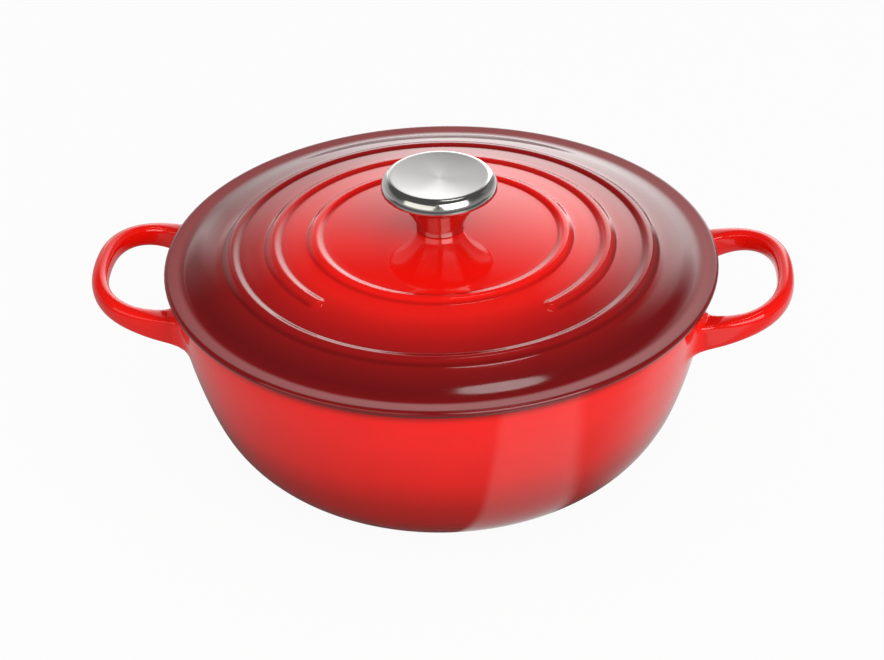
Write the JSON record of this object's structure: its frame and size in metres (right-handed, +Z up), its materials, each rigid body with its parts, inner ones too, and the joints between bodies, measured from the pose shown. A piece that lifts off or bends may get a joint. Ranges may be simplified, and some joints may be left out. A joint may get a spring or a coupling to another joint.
{
  "type": "marmite pot",
  "caption": "Round enamelled cast-iron casserole with a deep bowl-sided pot, loop handles, a lift-off domed lid with raised rings and a dished steel knob.",
  "frame": {"origin": "centre of the flat base, on the surface the pot stands on", "axes": "+Z up, +X along the line through both handles, -Y towards the open side of the lid's middle ring"},
  "size_m": [0.3434, 0.27, 0.1503],
  "materials": {
    "pot_enamel": "glossy red glass enamel, darker towards the base",
    "lid_enamel": "glossy enamel, bright red at the centre shading to burgundy at the rim",
    "knob_steel": "brushed dish, polished side and stem",
    "fastener_steel": "plain turned steel"
  },
  "bodies": {
    "pot": {"pot_body": "pot_enamel"},
    "lid": {"lid": "lid_enamel", "knob_cap": "knob_steel", "knob_stem": "knob_steel", "knob_insert": "fastener_steel", "lock_washer": "fastener_steel", "lid_screw": "fastener_steel"}
  },
  "joints": [
    {"name": "lid_lift", "type": "slide", "parent": "pot", "child": "lid", "axis": [0, 0, 1], "range_m": [0, 0.15]}
  ]
}
